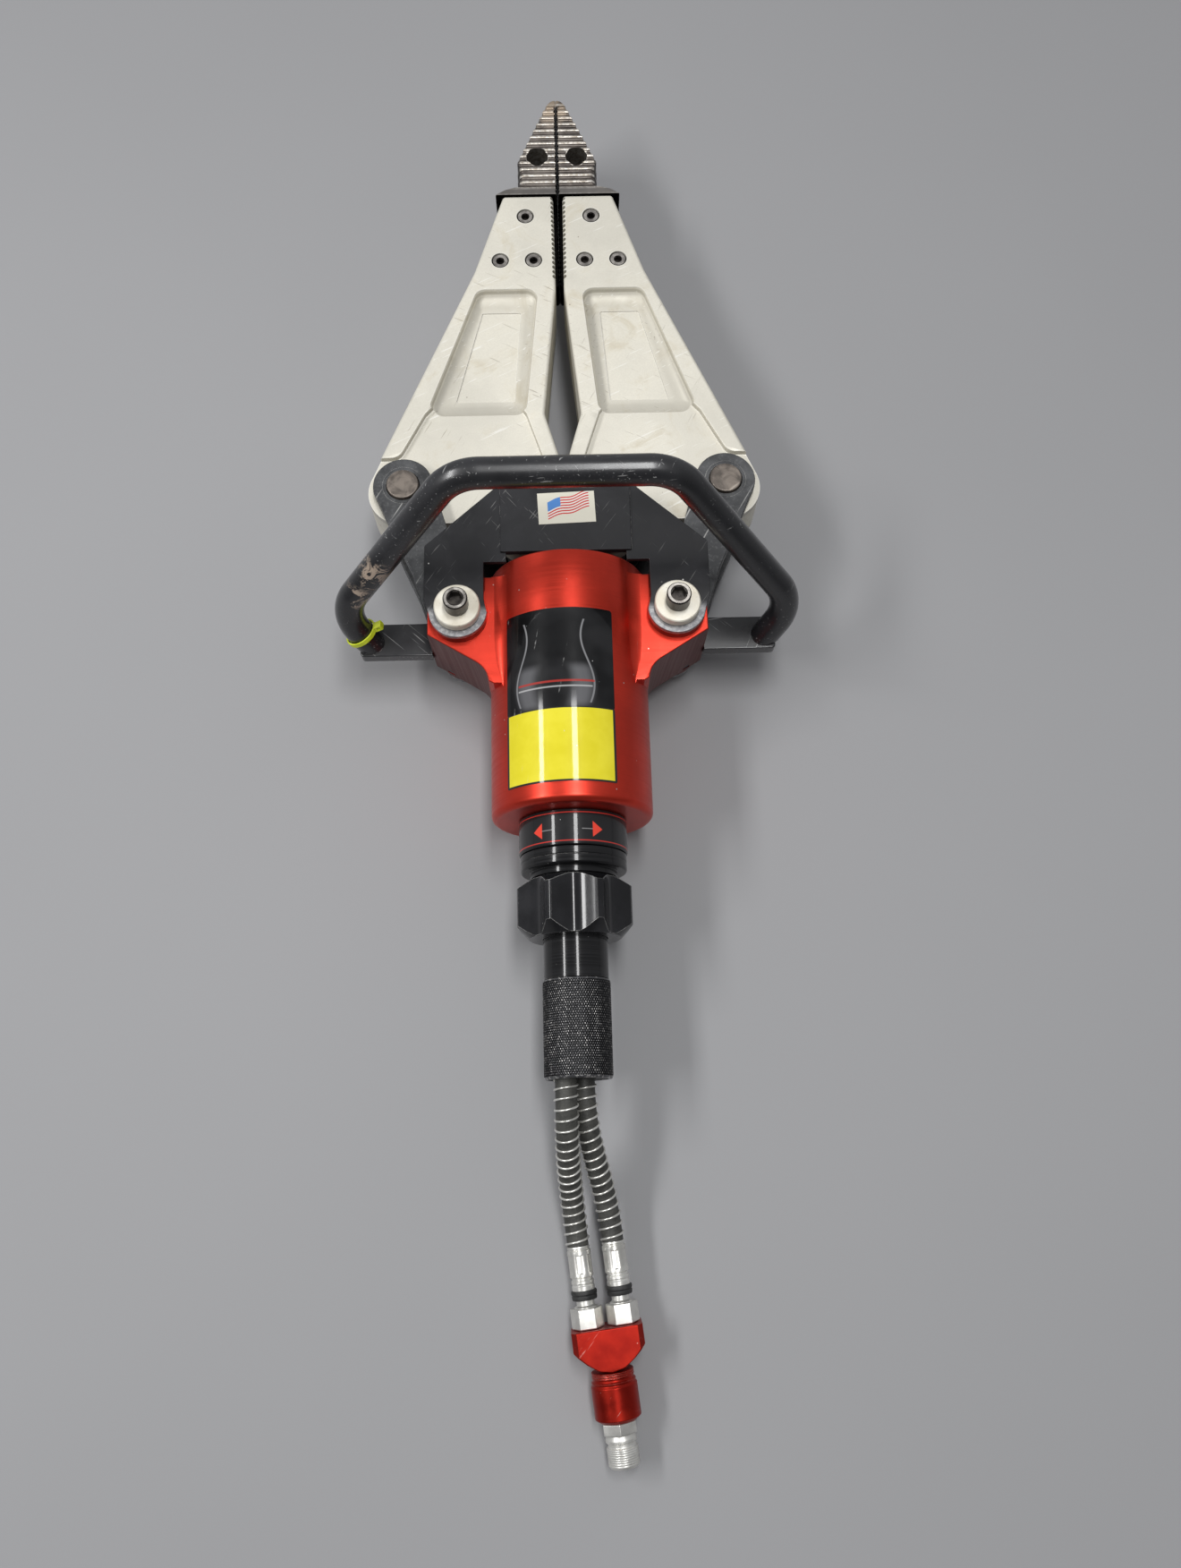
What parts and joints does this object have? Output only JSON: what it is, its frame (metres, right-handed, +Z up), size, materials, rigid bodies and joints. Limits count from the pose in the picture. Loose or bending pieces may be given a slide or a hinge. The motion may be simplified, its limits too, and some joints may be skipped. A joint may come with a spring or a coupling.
{
  "type": "rescue spreader",
  "caption": "Hydraulic rescue spreader: cylinder with carrying handle, star control knob and knurled grip, link-driven spreading arms with ribbed tips, and a hose coupler.",
  "frame": {"origin": "on the ground under the middle of the tool's length, hoses left out", "axes": "+Y from the grip towards the tips, +Z up through the carrying handle, +X to the operator's right"},
  "size_m": [0.341, 1.0574, 0.2129],
  "materials": {
    "red_anodised": "satin red anodised, brushed and chipped",
    "black_anodised": "glossy black anodised",
    "black_paint": "black paint, scratched",
    "link_steel": "dull gray steel",
    "bright_steel": "bright machined steel",
    "dark_steel": "darkened steel",
    "arm_aluminium": "pale anodised forging, scuffed",
    "tip_steel": "brown hardened steel, bright on its worn ribs",
    "bronze": "plain bearing bronze",
    "rubber": "matt black rubber",
    "tie_plastic": "yellow-green nylon"
  },
  "bodies": {
    "housing": {"cylinder_body": "red_anodised", "gland_nut": "black_anodised", "rod_seal": "rubber", "cross_bar_left": "black_paint", "cross_bar_right": "black_paint", "carry_handle": "black_paint", "cable_tie": "tie_plastic", "front_cover_top": "black_paint", "front_cover_bottom": "black_paint", "pivot_bolt_left": "dark_steel", "pivot_bolt_right": "dark_steel", "pivot_washer_left": "bright_steel", "pivot_washer_right": "bright_steel", "pivot_nut_left": "bright_steel", "pivot_nut_right": "bright_steel", "valve_body": "black_anodised", "valve_flange": "black_anodised", "return_spring": "bright_steel", "grip_tube": "black_anodised", "knurled_grip": "black_anodised", "hose_plate": "rubber", "hose_left": "rubber", "hose_right": "rubber", "ferrule_left": "bright_steel", "ferrule_right": "bright_steel", "boot_ring_left": "rubber", "boot_ring_right": "rubber", "hose_nut_left": "bright_steel", "hose_nut_right": "bright_steel", "coupler_manifold": "red_anodised", "coupler_collar": "red_anodised", "coupler_nipple": "bright_steel"},
    "piston": {"piston": "dark_steel", "piston_seal": "rubber", "piston_rod": "bright_steel", "crosshead": "dark_steel", "crosshead_pin_left": "bright_steel", "crosshead_pin_right": "bright_steel"},
    "link_left": {"link_upper_left": "link_steel", "link_lower_left": "link_steel", "link_pin_left": "dark_steel"},
    "link_right": {"link_upper_right": "link_steel", "link_lower_right": "link_steel", "link_pin_right": "dark_steel"},
    "arm_left": {"arm_left": "arm_aluminium", "arm_bush_left": "bronze", "tip_left": "tip_steel", "tip_screw_left_1": "dark_steel", "tip_screw_left_2": "dark_steel", "tip_screw_left_3": "dark_steel"},
    "arm_right": {"arm_right": "arm_aluminium", "arm_bush_right": "bronze", "tip_right": "tip_steel", "tip_screw_right_1": "dark_steel", "tip_screw_right_2": "dark_steel", "tip_screw_right_3": "dark_steel"},
    "knob": {"star_knob": "black_anodised", "valve_spool": "bright_steel"},
    "poppet": {"coupler_poppet": "bronze"}
  },
  "joints": [
    {"name": "piston_slide", "type": "slide", "parent": "housing", "child": "piston", "axis": [0, 1, 0], "range_m": [0, 0.0945]},
    {"name": "link_left_hinge", "type": "hinge", "parent": "housing", "child": "link_left", "pos_m": [-0.079, -0.0776, 0.0623], "axis": [0, 0, -1], "range_deg": [0, 7.3]},
    {"name": "arm_left_hinge", "type": "hinge", "parent": "link_left", "child": "arm_left", "pos_m": [-0.122, 0.0324, 0.0623], "axis": [0, 0, 1], "range_deg": [0, 64.2]},
    {"name": "link_right_hinge", "type": "hinge", "parent": "housing", "child": "link_right", "pos_m": [0.079, -0.0776, 0.0623], "axis": [0, 0, 1], "range_deg": [0, 7.3]},
    {"name": "arm_right_hinge", "type": "hinge", "parent": "link_right", "child": "arm_right", "pos_m": [0.122, 0.0324, 0.0623], "axis": [0, 0, -1], "range_deg": [0, 64.2]},
    {"name": "knob_turn", "type": "hinge", "parent": "housing", "child": "knob", "pos_m": [0, -0.2892, 0.0623], "axis": [0, 1, 0], "range_deg": [-25, 25], "stiffness_Nm_per_rad": 2},
    {"name": "poppet_slide", "type": "slide", "parent": "housing", "child": "poppet", "axis": [-0.1113, 0.9924, 0.0523], "range_m": [0, 0.004], "stiffness_N_per_m": 500, "springref_m": -0.004}
  ],
  "couplings": [
    {"joint": "link_left_hinge", "follows": "piston_slide", "rad_per_m": 1.3304},
    {"joint": "arm_left_hinge", "follows": "piston_slide", "rad_per_m": 11.849},
    {"joint": "link_right_hinge", "follows": "piston_slide", "rad_per_m": 1.3304},
    {"joint": "arm_right_hinge", "follows": "piston_slide", "rad_per_m": 11.849}
  ]
}
